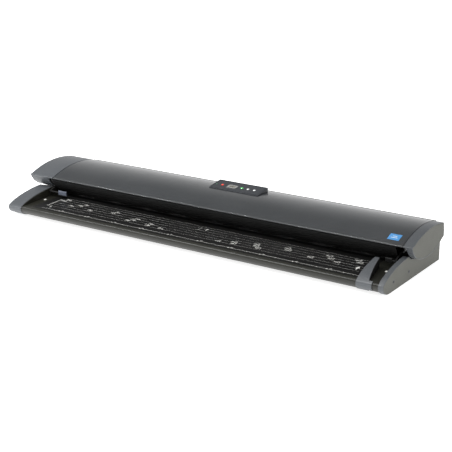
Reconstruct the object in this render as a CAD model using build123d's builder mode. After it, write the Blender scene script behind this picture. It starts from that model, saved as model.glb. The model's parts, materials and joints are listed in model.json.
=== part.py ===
import os

from build123d import *

# Wide-format sheet-fed document scanner.  X runs along the scanner, -Y is the side the
# paper goes in, +Z is up.  The origin is on the floor, under the middle of the scanner.

# ---------------------------------------------------------------- overall sizes (mm)
lid_width = 1286.6            # over the lid's end caps
lid_overhang = 17.6           # each end cap stands out past the base
depth = 342.0                 # nose of the base to its back
height = 125.0                # crest of the lid above the floor

# ---------------------------------------------------------------- walls and clearances
wall = 2.5                    # moulded covers
sheet = 1.5                   # folded steel sheet
plate = 3.0                   # side frames and hinge plates
gap = 0.4                     # between parts that move past each other
slack = 0.05                  # radial, shafts in bushes and pins in holes

# ---------------------------------------------------------------- base
foot_height = 2.0
foot_radius = 12.0
left_cheek_width = 50.0
right_cheek_width = 14.8
nose_depth = 39.5             # nose tip back to where the bottom goes flat
nose_low = 25.0               # height of the nose's lower curve
nose_top = 30.4               # where the cheek's ramp starts
nose_inset = 2.0              # deck nose behind the cheeks' nose
left_ramp_top = 64.0
right_ramp_top = 68.8
cheek_valley = 47.5           # cheek's top under the lid
cheek_back = 57.0             # cheek's top at the back
deck_front = 35.0             # deck's height at its front edge
deck_top = 40.0               # deck's height under the lid
deck_lip = 7.0                # rounding of the deck's front edge
chassis_height = 20.0         # folded front edge of the base pan
rear_fold = 3.0               # its low rear edge, under the sockets
exit_lip = 12.0               # rounding of the rear cover's top edge
insert_thickness = 0.6
insert_margin = 33.5          # deck's left edge to the printed insert
insert_nose = 18.0            # insert's front edge behind the nose tip
sensor_inset = 90.0           # paper sensors behind the nose tip
screw_radius = 1.6
screw_head_radius = 3.1
screw_head = 2.0
screw_length = 9.0
screw_sunk = 0.4              # screw heads below the cheek's face
screw_key = 1.3               # hexagon socket, over its corners, halved
stand_spacing_x = 900.0       # threaded holes for a floor stand
stand_spacing_y = 200.0
stand_hole_radius = 2.5

# ---------------------------------------------------------------- lid
lid_setback = 220.0           # lid's nose to the back of the base
seam = 0.3                    # between the lid's moulded parts
cover_groove = 2.4            # shadow groove round each end of the lid's cover
cover_groove_depth = 1.4
face_recess = 1.0             # end plates let into the caps
end_rim = 1.2                 # cap's rim round its end plate
under_wall = 2.0              # lid's underside
under_end = 5.2               # lid's underside to the side plates
label_length = 32.0
label_width = 24.0
label_back = 30.0             # its middle behind the lid's front edge
label_inset = 52.9            # label's left edge to the cover's right end
lid_back_inset = 21.5         # lid's back to the back of the base
left_cap_width = 89.0
right_cap_width = 26.4
left_flange = 56.5            # width of the left cap's closed underside
apron_depth = 34.0            # its front part reaches further in, ahead of the side frame
apron_clearance = 2.0         # from that part to the latch
nose_rise = 27.0              # lid's nose tip below the crest
belly = 51.0                  # lowest point of the lid's end profile
hinge_height = 66.0
hinge_inset = 29.0            # hinge axis to the back of the base
hinge_pin_radius = 3.0

# ---------------------------------------------------------------- scan unit
scan_inset = 119.0            # middle of the scan unit to the back of the base
roller_spacing = 80.0         # feed roller to exit roller
drive_radius = 10.0
drive_proud = 1.0             # drive rollers stand above the deck
pinch_radius = 7.0
pinch_gap = 0.3
shaft_radius = 4.0
pinch_shaft_radius = 2.2
bush_radius = 7.0
bush_width = 6.0
roller_count = 9
sleeve_length = 60.0
pinch_sleeve_length = 24.0
scan_width = 1067.0
glass_thickness = 3.0
glass_clearance = 5.0         # glass to the pinch rollers
glass_depth = roller_spacing - 2 * (pinch_radius + glass_clearance)
glass_margin = 15.0           # glass beyond the scan width at each end
module_count = 5
module_overlap = 16.0
module_margin = 4.0           # sensor rows to the glass's long edges
module_spacing = 8.0          # between the two rows of sensors
module_depth = (glass_depth - module_spacing) / 2 - module_margin
module_height = 24.0
under_clearance = 3.7         # lid's underside above the deck
platen_rise = 2.3             # white backing plate above the deck

# ---------------------------------------------------------------- drive
roller_pulley_radius = 10.0
motor_pulley_radius = 6.0
belt_thickness = 1.5
belt_width = 7.0
motor_size = 28.0
motor_length = 34.0
motor_shaft_radius = 2.5

# ---------------------------------------------------------------- control panel
panel_left = -46.0
panel_width = 167.0
panel_depth = 60.0
panel_front_inset = 114.5     # panel's front edge to the back of the base
panel_front_rise = 1.2        # above the lid's crest
panel_back_rise = 10.7
fascia_depth = 1.0
fascia_border = 4.0
keypad_depth = 4.6            # keypad board below the panel's face
row_v = 28.9                  # buttons' row, up the slope from the front edge
button_travel = 0.8
button_proud = 0.7
buttons = {
    "power_button": (30.0, 3.8),
    "scan_button": (96.5, 3.8),
    "menu_button": (117.0, 3.8),
    "select_button": (138.0, 3.8),
}
display_centre = (64.5, 27.5)
display_size = (33.0, 26.0)
status_light_u = 10.0
status_light_radius = 1.3

# ---------------------------------------------------------------- latches
striker_length = 8.0          # stops short of the lid's underside, which swings past it
striker_radius = 2.0
latch_thickness = 4.0
latch_stud_radius = 3.0
tab_height = 14.0
tab_thickness = 6.4
tab_inset = 4.0               # finger tabs behind the lid's nose
tab_lift = 9.5                # finger tabs above the deck

# ---------------------------------------------------------------- edge guide
guide_left = 550.0
guide_foot_width = 44.0
guide_neck_width = 33.0
guide_end_width = 14.0
guide_reach = 104.0           # nose tip to the guide's rounded end

# ---------------------------------------------------------------- places worked out
lid_left = -lid_width / 2
lid_right = lid_width / 2
base_left = lid_left + lid_overhang
base_right = lid_right - lid_overhang
deck_left = base_left + left_cheek_width
deck_right = base_right - right_cheek_width
cover_left = lid_left + left_cap_width
cover_right = lid_right - right_cap_width
front = -depth / 2
back = depth / 2
lid_front = back - lid_setback
lid_back = back - lid_back_inset
scan_y = back - scan_inset
feed_y = scan_y - roller_spacing / 2
exit_y = scan_y + roller_spacing / 2
drive_z = deck_top + drive_proud - drive_radius
pinch_z = deck_top + drive_proud + pinch_gap + pinch_radius
hinge_y = back - hinge_inset
tray_front = feed_y - 10.0
tray_back = exit_y + 11.5
frame_left = deck_left + 1.0                    # outer faces of the side frames
frame_right = deck_right - 4.0
inner_left = frame_left + plate
inner_right = frame_right - plate
motor_y = exit_y + 38.0
motor_z = foot_height + sheet + motor_size / 2 + 2.0
striker_y = scan_y - 22.0
striker_z = pinch_z + 8.0
latch_stud_length = gap + latch_thickness + 0.4
latch_pivot = (feed_y - 14.0, pinch_z + 20.0)
under_z = deck_top + under_clearance            # lid's flat underside
lid_frame_left = inner_left + gap               # outer faces of the lid's side plates
lid_frame_right = inner_right - gap
beam_left = lid_frame_left + plate
beam_right = lid_frame_right - plate
paper_x = (deck_left + insert_margin + guide_left) / 2   # middle of the printed paper scale
sleeve_pitch = scan_width / roller_count

cheek_screws_at = [
    (front + 59.0, foot_height + 25.0),
    (front + 147.8, foot_height + 25.0),
]

# ---------------------------------------------------------------- sockets at the back
socket_z = foot_height + sheet + 10.0
power_socket_x = deck_right - 90.0
usb_socket_x = power_socket_x - 45.0
network_socket_x = usb_socket_x - 45.0
socket_sizes = {
    power_socket_x: (10.0, 11.0),
    usb_socket_x: (12.5, 11.5),
    network_socket_x: (16.0, 13.5),
}

# ---------------------------------------------------------------- main board's place
board_z = foot_height + sheet + 6.0
board_x = usb_socket_x
board_length = 170.0
board_depth = 80.0
board_y = back - wall - 4.0 - board_depth / 2

os.makedirs("parts", exist_ok=True)


def save(piece, name):
    piece.label = name
    export_step(piece, "parts/" + name + ".step")


def side_plane(x):
    """Upright plane across the scanner: local x is +Y and local y is +Z."""
    return Plane.YZ.offset(x)


def ring(x0, x1, y, z, outer, inner=0.0):
    """A rod or tube along X."""
    with BuildPart() as solid:
        with BuildSketch(side_plane(x0)):
            with Locations((y, z)):
                Circle(outer)
                if inner > 0:
                    Circle(inner, mode=Mode.SUBTRACT)
        extrude(amount=x1 - x0)
    return solid.part


# ---------------------------------------------------------------- profiles
def cheek_profile(ramp_top, inset=0.0):
    """End view of the base: nose, ramp, the dip under the lid, and the back."""
    floor = foot_height + inset
    rear = back - inset
    tip = front + inset
    ramp_end = (lid_front + 20.0 - inset, ramp_top - inset)
    dip_start = (lid_front + 37.0 - inset, left_ramp_top - 5.5 - inset)
    nose_centre = (front + nose_depth, foot_height + nose_low)
    with BuildSketch() as sketch:
        with BuildLine():
            EllipticalCenterArc(nose_centre, nose_depth - inset, nose_low - inset, 180, arc_size=90)
            Line((front + nose_depth, floor), (rear, floor))
            Line((rear, floor), (rear, cheek_back - inset))
            ThreePointArc((rear, cheek_back - inset), (scan_y - 7, cheek_valley - inset), dip_start)
            Line(dip_start, ramp_end)
            Bezier(
                ramp_end,
                (front + 71, ramp_top - 2.8 - inset),
                (tip + 8, nose_top + 15.6 - (right_ramp_top - ramp_top) - inset),
                (tip, nose_top - inset / 2),
            )
            Line((tip, nose_top - inset / 2), (tip, foot_height + nose_low))
        make_face()
    return sketch.sketch


def deck_outline(inset=0.0):
    """The deck's top and nose, closed along a flat bottom."""
    tip = front + nose_inset + inset
    floor = foot_height + nose_inset + inset
    lip_centre = (front + nose_inset + deck_lip, foot_height + nose_low)
    nose_centre = (front + nose_depth, foot_height + nose_low)
    with BuildSketch() as sketch:
        with BuildLine():
            Line((tray_front, floor), (tray_front, deck_top - inset))
            Line((tray_front, deck_top - inset), (lip_centre[0], deck_front - inset))
            EllipticalCenterArc(
                lip_centre, deck_lip - inset, deck_front - foot_height - nose_low - inset, 90, arc_size=90
            )
            EllipticalCenterArc(
                nose_centre, nose_depth - nose_inset - inset, nose_low - nose_inset - inset, 180, arc_size=90
            )
            Line((front + nose_depth, floor), (tray_front, floor))
        make_face()
    return sketch.sketch


def lid_profile(inset=0.0):
    """End view of the lid: a wing with a round nose, a long crowned top and a belly."""
    nose = height - nose_rise
    tip = lid_front + inset
    rear = lid_back - inset
    top = height - inset
    low = belly + inset
    brow = (lid_front + 7.5 + 0.38 * inset, nose + 3.7 - 0.93 * inset)
    with BuildSketch() as sketch:
        with BuildLine():
            Spline((tip, nose), brow, tangents=((0, 1), (1, 0.4)))
            ThreePointArc(brow, (scan_y + 21.4, top), (rear - 4, top - 8.2))
            Line((rear - 4, top - 8.2), (rear, top - 30))
            Line((rear, top - 30), (rear, height - 47 + inset))
            Spline(
                (rear, height - 47 + inset),
                (lid_back - 24, low + 16.7),
                (lid_back - 71, low + 2.8),
                (scan_y - 12, low),
                (lid_front + 50, low + 5.2),
                (lid_front + 21.5 + inset / 2, low + 18.6),
                (tip, nose),
                tangents=((-1, -0.3), (-0.4, 1)),
            )
        make_face()
    return sketch.sketch


def above_cover_edge():
    """Everything above the line where the lid's covers end and its underside begins."""
    with BuildSketch() as sketch:
        Polygon(
            (lid_front - 9, height - nose_rise - 1),
            (lid_back + 20, height - 45),
            (lid_back + 20, height + 20),
            (lid_front - 9, height + 20),
            align=None,
        )
    return sketch.sketch


outer_lid = lid_profile()
inner_lid = lid_profile(wall)
upper_zone = above_cover_edge()


# ---------------------------------------------------------------- base: chassis
with BuildPart() as base_pan:
    with BuildSketch(Plane.XY.offset(foot_height)):
        with Locations(((inner_left + inner_right) / 2, (front + nose_depth + back - wall) / 2)):
            Rectangle(inner_right - inner_left, back - wall - front - nose_depth)
    extrude(amount=sheet)
    edges = {front + nose_depth + wall + sheet / 2: chassis_height, back - wall - sheet / 2: rear_fold}
    for edge_y, edge_height in edges.items():
        with BuildSketch(Plane.XY.offset(foot_height)):
            with Locations(((inner_left + inner_right) / 2, edge_y)):
                Rectangle(inner_right - inner_left, sheet)
        extrude(amount=edge_height)
    with Locations((0, 0, foot_height)):
        with GridLocations(stand_spacing_x, stand_spacing_y, 2, 2):
            Hole(stand_hole_radius, depth=4 * sheet)
    with BuildSketch(Plane.XY.offset(foot_height + sheet)):
        with Locations((board_x, board_y)):
            with GridLocations(board_length - 12, board_depth - 12, 2, 2):
                Circle(3.0)
    extrude(amount=board_z - foot_height - sheet)
save(base_pan.part, "base_pan")

with BuildPart() as rubber_feet:
    with BuildSketch():
        with GridLocations(lid_width * 0.42, depth * 0.55, 3, 2):
            Circle(foot_radius)
    extrude(amount=foot_height)
save(rubber_feet.part, "rubber_feet")


def side_frame(x0, striker_x):
    """Steel side frame: roller bushes, the lid's hinge pin and a riveted latch striker."""
    ear = hinge_pin_radius + 4
    with BuildPart() as frame:
        with BuildSketch(side_plane(x0)):
            with BuildLine():
                Polyline(
                    (tray_front + 1, foot_height + sheet),
                    (back - wall - 2 * sheet, foot_height + sheet),
                    (back - wall - 2 * sheet, chassis_height + 10),
                    (hinge_y + ear + 6, deck_top - 4),
                    (hinge_y + ear, hinge_height),
                    (hinge_y - ear, hinge_height),
                    (hinge_y - ear - 6, deck_top - 4),
                    (striker_y + 8, deck_top - 4),
                    (striker_y + 4, striker_z + 4),
                    (striker_y - 4, striker_z + 4),
                    (striker_y - 8, deck_top - 4),
                    (tray_front + 1, deck_top - 4),
                    close=True,
                )
            make_face()
            with Locations((hinge_y, hinge_height)):
                Circle(ear)
            with Locations((feed_y, drive_z), (exit_y, drive_z)):
                Circle(bush_radius, mode=Mode.SUBTRACT)
            with Locations((hinge_y, hinge_height)):
                Circle(hinge_pin_radius, mode=Mode.SUBTRACT)
            with Locations((motor_y, motor_z)):
                Circle(motor_shaft_radius + 1, mode=Mode.SUBTRACT)
        extrude(amount=plate)
        add(ring(striker_x, striker_x + striker_length, striker_y, striker_z, striker_radius))
    return frame.part


save(side_frame(frame_left, inner_left), "left_side_frame")
save(side_frame(inner_right, inner_right - striker_length), "right_side_frame")


# ---------------------------------------------------------------- base: cheeks
def cheek(outer_x, inner_x, ramp_top):
    """Moulded end cover of the base: a shell open on its inner side, with two screw holes."""
    inward = 1 if inner_x > outer_x else -1
    with BuildPart() as shell:
        with BuildSketch(side_plane(min(outer_x, inner_x))):
            add(cheek_profile(ramp_top))
        extrude(amount=abs(inner_x - outer_x))
        with BuildSketch(side_plane(outer_x + inward * wall)):
            add(cheek_profile(ramp_top, wall))
        extrude(amount=inward * depth, mode=Mode.SUBTRACT)
        with Locations(side_plane(outer_x)):
            with Locations(*cheek_screws_at):
                Cylinder(screw_head_radius + gap, 2 * screw_head, mode=Mode.SUBTRACT)
                Cylinder(screw_radius + slack, 4 * wall, mode=Mode.SUBTRACT)
    return shell.part


save(cheek(base_left, deck_left, left_ramp_top), "left_cheek")
save(cheek(base_right, deck_right, right_ramp_top), "right_cheek")

with BuildPart() as cheek_screws:
    for face_x, inward in ((base_left, 1), (base_right, -1)):
        head_x = face_x + inward * screw_sunk
        for screw_y, screw_z in cheek_screws_at:
            with BuildSketch(side_plane(head_x)):
                with Locations((screw_y, screw_z)):
                    Circle(screw_head_radius)
            extrude(amount=inward * (screw_head - screw_sunk))
            with BuildSketch(side_plane(head_x)):
                with Locations((screw_y, screw_z)):
                    Circle(screw_radius)
            extrude(amount=inward * screw_length)
            with BuildSketch(side_plane(head_x)):
                with Locations((screw_y, screw_z)):
                    RegularPolygon(screw_key, 6)
            extrude(amount=inward * 1.0, mode=Mode.SUBTRACT)
save(cheek_screws.part, "cheek_screws")

# ---------------------------------------------------------------- base: paper path


def deck_hollow():
    """The room inside the front deck, open downwards and to the back."""
    with BuildSketch() as sketch:
        add(deck_outline(wall))
        with BuildLine():
            Polyline(
                (front + nose_depth - 0.5, foot_height - 5),
                (tray_front + 5, foot_height - 5),
                (tray_front + 5, deck_top - wall),
                (tray_front - 1, deck_top - wall),
                (front + nose_depth - 0.5, deck_front - wall),
                close=True,
            )
        make_face()
    return sketch.sketch


with BuildPart() as front_deck:
    with BuildSketch(side_plane(deck_left)):
        add(deck_outline())
    extrude(amount=deck_right - deck_left)
    with BuildSketch(side_plane(deck_left - 1)):
        add(deck_hollow())
    extrude(amount=deck_right - deck_left + 2, mode=Mode.SUBTRACT)
save(front_deck.part, "front_deck")

def deck_height(y):
    """Height of the deck's upper face at y, between its front edge and the paper tray."""
    slope_start = front + nose_inset + deck_lip
    share = (y - slope_start) / (tray_front - slope_start)
    return deck_front + (deck_top - deck_front) * min(max(share, 0.0), 1.0)


with BuildPart() as guide_insert:
    insert_front = front + insert_nose
    insert_back = tray_front - 2.0
    with BuildSketch(side_plane(deck_left + insert_margin)):
        Polygon(
            (insert_front, deck_height(insert_front)),
            (insert_back, deck_height(insert_back)),
            (insert_back, deck_height(insert_back) + insert_thickness),
            (insert_front, deck_height(insert_front) + insert_thickness),
            align=None,
        )
    extrude(amount=guide_left - deck_left - insert_margin)
save(guide_insert.part, "guide_insert")


with BuildPart() as deck_walls:
    for wall_x in (deck_left, deck_right - wall):
        with BuildSketch(side_plane(wall_x)):
            add(cheek_profile(left_ramp_top - 1.5))
            Polygon(
                (front - 5, 0),
                (back + 5, 0),
                (back + 5, deck_top),
                (tray_front, deck_top),
                (front + nose_inset + deck_lip, deck_front),
                (front - 5, deck_front),
                align=None,
                mode=Mode.SUBTRACT,
            )
            Polygon(
                (front - 5, deck_front),
                (front + 14, deck_front),
                (front + 14, height),
                (front - 5, height),
                align=None,
                mode=Mode.SUBTRACT,
            )
            Polygon(
                (tray_front - 4, 0),
                (back + 5, 0),
                (back + 5, height),
                (tray_front - 4, height),
                align=None,
                mode=Mode.SUBTRACT,
            )
        extrude(amount=wall)
save(deck_walls.part, "deck_walls")


def sleeve_starts(length):
    """Left ends of the roller sleeves, evenly spread over the scan width."""
    first = paper_x - scan_width / 2 + (sleeve_pitch - length) / 2
    return [first + index * sleeve_pitch for index in range(roller_count)]


def cut_slots(centre_y, slot_width, length):
    """Windows for the rollers, cut down through whatever plate is being built."""
    for start in sleeve_starts(length):
        with Locations((start + length / 2, centre_y)):
            Rectangle(length + 2.0, slot_width, mode=Mode.SUBTRACT)


with BuildPart() as paper_tray:
    with BuildSketch(Plane.XY.offset(deck_top - sheet)):
        with Locations(((inner_left + inner_right) / 2, (tray_front + tray_back) / 2)):
            Rectangle(inner_right - inner_left - 2 * gap, tray_back - tray_front - 2 * gap)
        with Locations((paper_x, scan_y)):
            Rectangle(scan_width + 20, glass_depth - 4, mode=Mode.SUBTRACT)
        cut_slots(feed_y, 2 * drive_radius, sleeve_length)
        cut_slots(exit_y, 2 * drive_radius, sleeve_length)
    extrude(amount=sheet)
save(paper_tray.part, "paper_tray")

with BuildPart() as backing_plate:
    with BuildSketch(Plane.XY.offset(deck_top - 2.0)):
        with Locations((paper_x, scan_y)):
            Rectangle(scan_width + 19, glass_depth - 5)
    extrude(amount=2.0 + platen_rise)
    long_edges = backing_plate.edges().group_by(Axis.Z)[-1].filter_by(Axis.X)
    chamfer(long_edges, length=2.5, length2=platen_rise + 0.4)
    with BuildSketch(Plane.XY.offset(deck_top - 2.0 - sheet)):
        with Locations((paper_x, scan_y)):
            Rectangle(scan_width + 30, glass_depth - 14)
    extrude(amount=sheet)
save(backing_plate.part, "backing_plate")

# ---------------------------------------------------------------- base: back
with BuildPart() as rear_cover:
    with BuildSketch(side_plane(deck_left)):
        with BuildLine():
            Line((tray_back, deck_top), (back - exit_lip, deck_top))
            RadiusArc((back - exit_lip, deck_top), (back, deck_top - exit_lip), exit_lip)
            Line((back, deck_top - exit_lip), (back, foot_height))
            Line((back, foot_height), (back - wall, foot_height))
            Line((back - wall, foot_height), (back - wall, deck_top - exit_lip))
            RadiusArc(
                (back - wall, deck_top - exit_lip), (back - exit_lip, deck_top - wall), wall - exit_lip
            )
            Line((back - exit_lip, deck_top - wall), (tray_back, deck_top - wall))
            Line((tray_back, deck_top - wall), (tray_back, deck_top))
        make_face()
    extrude(amount=deck_right - deck_left)
    with BuildSketch(Plane.XZ.offset(-back - 1)):
        for socket_x, (socket_width, socket_height) in socket_sizes.items():
            with Locations((socket_x, socket_z)):
                Rectangle(socket_width + 1, socket_height + 1)
    extrude(amount=wall + 2, mode=Mode.SUBTRACT)
    with BuildSketch(Plane.XY.offset(deck_top - 2 * wall)):
        notch_depth = hinge_y + hinge_pin_radius + 12 - tray_back
        for notch_start, notch_end in ((deck_left, inner_left + gap), (inner_right - gap, deck_right)):
            with Locations(((notch_start + notch_end) / 2, tray_back + notch_depth / 2)):
                Rectangle(notch_end - notch_start, notch_depth)
    extrude(amount=3 * wall, mode=Mode.SUBTRACT)
save(rear_cover.part, "rear_cover")

# ---------------------------------------------------------------- rollers
pulley_left = frame_left - 4.0 - belt_width

for roller, roller_y in (("feed", feed_y), ("exit", exit_y)):
    shaft = ring(frame_left - 16, frame_right + 2, roller_y, drive_z, shaft_radius)
    save(shaft, roller + "_roller_shaft")

    with BuildPart() as sleeves:
        for start in sleeve_starts(sleeve_length):
            add(ring(start, start + sleeve_length, roller_y, drive_z, drive_radius, shaft_radius))
    save(sleeves.part, roller + "_roller_sleeves")

    with BuildPart() as pulley:
        add(ring(pulley_left - 0.3, pulley_left + belt_width + 0.3, roller_y, drive_z, roller_pulley_radius))
        for flange_x in (pulley_left - 1.6, pulley_left + belt_width + 0.3):
            add(ring(flange_x, flange_x + 1.3, roller_y, drive_z, roller_pulley_radius + 1.2))
        pulley_bore = ring(pulley_left - 3, pulley_left + belt_width + 3, roller_y, drive_z, shaft_radius)
        add(pulley_bore, mode=Mode.SUBTRACT)
    save(pulley.part, roller + "_roller_pulley")

    pinch_shaft = ring(lid_frame_left - 0.1, lid_frame_right + 0.1, roller_y, pinch_z, pinch_shaft_radius)
    save(pinch_shaft, roller + "_pinch_shaft")

    with BuildPart() as pinch_sleeves:
        for start in sleeve_starts(pinch_sleeve_length):
            end = start + pinch_sleeve_length
            add(ring(start, end, roller_y, pinch_z, pinch_radius, pinch_shaft_radius))
    save(pinch_sleeves.part, roller + "_pinch_rollers")

with BuildPart() as roller_bushes:
    for bush_x in (frame_left - bush_width / 4, inner_right - bush_width / 4):
        for roller_y in (feed_y, exit_y):
            bush_end = bush_x + bush_width * 0.75
            add(ring(bush_x, bush_end, roller_y, drive_z, bush_radius, shaft_radius + slack))
save(roller_bushes.part, "roller_bushes")

# ---------------------------------------------------------------- drive motor and belt
with BuildPart() as drive_motor:
    with BuildSketch(side_plane(inner_left)):
        with Locations((motor_y, motor_z)):
            RectangleRounded(motor_size, motor_size, 4.0)
    extrude(amount=motor_length)
    chamfer(drive_motor.edges().group_by(Axis.X)[-1], length=1.0)
save(drive_motor.part, "drive_motor")

with BuildPart() as motor_shaft:
    add(ring(pulley_left - 2, inner_left, motor_y, motor_z, motor_shaft_radius))
    pulley_end = pulley_left + belt_width
    add(ring(pulley_left - 0.3, pulley_end + 0.3, motor_y, motor_z, motor_pulley_radius))
save(motor_shaft.part, "motor_pulley")


def belt_loop(clear):
    """Outline of the belt's path round the three pulleys, at a distance from them."""
    with BuildSketch() as sketch:
        with Locations((feed_y, drive_z), (exit_y, drive_z)):
            Circle(roller_pulley_radius + clear)
        with Locations((motor_y, motor_z)):
            Circle(motor_pulley_radius + clear)
        make_hull()
    return sketch.sketch


with BuildPart() as drive_belt:
    with BuildSketch(side_plane(pulley_left)):
        add(belt_loop(gap / 2 + belt_thickness))
        add(belt_loop(gap / 2), mode=Mode.SUBTRACT)
    extrude(amount=belt_width)
save(drive_belt.part, "drive_belt")

# ---------------------------------------------------------------- electronics in the base
with BuildPart() as main_board:
    with BuildSketch(Plane.XY.offset(board_z)):
        with Locations((board_x, board_y)):
            Rectangle(board_length, board_depth)
    extrude(amount=1.6)
    with BuildSketch(Plane.XY.offset(board_z + 1.6)):
        with Locations((board_x - 30, back - 60)):
            Rectangle(28, 28)
        with Locations((board_x + 20, back - 64)):
            Rectangle(18, 14)
        with Locations((board_x + 60, back - 62)):
            Rectangle(22, 18)
    extrude(amount=2.4)
save(main_board.part, "main_board")


def socket(x, width, tall, bore):
    """A socket on the board's rear edge, with its mouth in the rear cover's window."""
    base_z = board_z + 1.6
    with BuildPart() as body:
        with BuildSketch(Plane.XY.offset(base_z)):
            with Locations((x, back - wall / 2 - 9)):
                Rectangle(width, 18)
        extrude(amount=socket_z + tall / 2 - base_z)
        with BuildSketch(Plane.XZ.offset(-(back - wall / 2))):
            with Locations((x, (base_z + socket_z + tall / 2) / 2)):
                add(bore)
        extrude(amount=11, mode=Mode.SUBTRACT)
    return body.part


with BuildSketch() as round_mouth:
    Circle(3.1)
with BuildSketch() as square_mouth:
    Rectangle(9.0, 5.5)
with BuildSketch() as plug_mouth:
    Rectangle(12.0, 6.0)
power_size = socket_sizes[power_socket_x]
usb_size = socket_sizes[usb_socket_x]
network_size = socket_sizes[network_socket_x]
save(socket(power_socket_x, power_size[0], power_size[1], round_mouth.sketch), "power_socket")
save(socket(usb_socket_x, usb_size[0], usb_size[1], square_mouth.sketch), "usb_socket")
save(socket(network_socket_x, network_size[0], network_size[1], plug_mouth.sketch), "network_socket")

with BuildPart() as paper_sensors:
    for sensor_x in (deck_left + 18.0, deck_right - 20.0):
        with BuildSketch(Plane.XY.offset(deck_height(front + 90) + 0.15)):
            with Locations((sensor_x, front + 90)):
                RectangleRounded(7.0, 9.0, 1.5)
        extrude(amount=0.8)
save(paper_sensors.part, "paper_sensors")

with BuildPart() as hinge_pins:
    for pin_x in (frame_left, lid_frame_right - plate - 1.0):
        length = 2 * plate + gap + 1.0
        add(ring(pin_x, pin_x + length, hinge_y, hinge_height, hinge_pin_radius))
save(hinge_pins.part, "hinge_pins")

# ---------------------------------------------------------------- lid: frame
bore = pinch_shaft_radius + slack
plate_knee = (exit_y + 16, belly + 16)


def lid_side_plate(x0, stud_x):
    """Steel plate at each end of the lid: hinge eye, pinch shaft holes, latch pivot stud."""
    eye = hinge_pin_radius + 4
    with BuildPart() as frame:
        with BuildSketch(side_plane(x0)):
            Polygon(
                (feed_y - 7, pinch_z - 5),
                (exit_y + 7, pinch_z - 5),
                plate_knee,
                (hinge_y - eye, hinge_height),
                (hinge_y + eye, hinge_height),
                (hinge_y + eye - 6, height - 25),
                (latch_pivot[0], height - 16),
                (latch_pivot[0], latch_pivot[1]),
                (feed_y - 7, latch_pivot[1] - 8),
                align=None,
            )
            with Locations((hinge_y, hinge_height)):
                Circle(eye)
                Circle(hinge_pin_radius + slack, mode=Mode.SUBTRACT)
            with Locations((feed_y, pinch_z), (exit_y, pinch_z)):
                Circle(bore, mode=Mode.SUBTRACT)
            with Locations((striker_y, striker_z - 6)):
                Rectangle(11, 24, mode=Mode.SUBTRACT)
            with Locations(latch_pivot):
                Circle(6)
        extrude(amount=plate)
        add(ring(stud_x, stud_x + latch_stud_length, latch_pivot[0], latch_pivot[1], latch_stud_radius))
    return frame.part


save(lid_side_plate(lid_frame_left, beam_left), "left_lid_plate")
save(lid_side_plate(beam_right, beam_right - latch_stud_length), "right_lid_plate")

beam_depth = glass_depth - 2.0
beam_low = under_z + 0.2 + glass_thickness + 0.4 + module_height + 8.0
beam_high = height - 19.0
beam_wall = 2.0

module_length = scan_width / module_count + module_overlap
module_z = under_z + 0.2 + glass_thickness + 0.4
stagger = (module_depth + module_spacing) / 2
module_places = []
for index in range(module_count):
    centre_x = paper_x + (index - (module_count - 1) / 2) * scan_width / module_count
    centre_y = scan_y + (stagger if index % 2 else -stagger)
    module_places.append((centre_x, centre_y))

with BuildPart() as sensor_beam:
    with BuildSketch(side_plane(beam_left)):
        with Locations((scan_y, (beam_low + beam_high) / 2)):
            Rectangle(beam_depth, beam_high - beam_low)
            Rectangle(beam_depth - 2 * beam_wall, beam_high - beam_low - 2 * beam_wall, mode=Mode.SUBTRACT)
    extrude(amount=beam_right - beam_left)
    with BuildSketch(Plane.XY.offset(module_z + module_height)):
        for centre_x, centre_y in module_places:
            for side in (-1, 1):
                with Locations((centre_x + side * module_length / 4, centre_y)):
                    Rectangle(16, module_depth - 4)
    extrude(amount=beam_low - module_z - module_height)
save(sensor_beam.part, "sensor_beam")

with BuildPart() as image_sensors:
    with BuildSketch(Plane.XY.offset(module_z)):
        with Locations(*module_places):
            Rectangle(module_length, module_depth)
    extrude(amount=module_height)
    with BuildSketch(Plane.XY.offset(module_z)):
        with Locations(*module_places):
            Rectangle(module_length - 8, 7)
    extrude(amount=6, mode=Mode.SUBTRACT)
save(image_sensors.part, "image_sensors")

with BuildPart() as sensor_lenses:
    with BuildSketch(Plane.XY.offset(module_z + 1)):
        with Locations(*module_places):
            Rectangle(module_length - 10, 3)
    extrude(amount=5)
save(sensor_lenses.part, "sensor_lenses")

# ---------------------------------------------------------------- lid: underside and glass
under_left = beam_left + under_end
under_right = beam_right - under_end


def underside_edge(lift):
    """One face of the lid's underside, seen from the end."""
    start = (lid_front + 3.0 + lift, height - nose_rise - 4)
    flat_start = (tray_front + 4 + lift * 0.3, under_z + lift)
    flat_end = (tray_back + 2, under_z + lift)
    rear = (lid_back - 3.2, height - 46 + lift)
    return start, flat_start, flat_end, rear


def underside_profile():
    """Throat, flat scan zone and rear rise of the lid's underside."""
    low_start, low_a, low_b, low_end = underside_edge(0.0)
    up_start, up_a, up_b, up_end = underside_edge(under_wall)
    with BuildSketch() as sketch:
        with BuildLine():
            Bezier(low_start, (lid_front + 8, height - 49), (tray_front - 24, under_z + 12), low_a)
            Line(low_a, low_b)
            Line(low_b, (exit_y + 30, belly + 11))
            Line((exit_y + 30, belly + 11), low_end)
            Line(low_end, up_end)
            Line(up_end, (exit_y + 29, belly + 13.4))
            Line((exit_y + 29, belly + 13.4), up_b)
            Line(up_b, up_a)
            Bezier(
                up_a,
                (tray_front - 22.6, under_z + 14),
                (lid_front + 10, height - 48),
                up_start,
            )
            Line(up_start, low_start)
        make_face()
    return sketch.sketch


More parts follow.
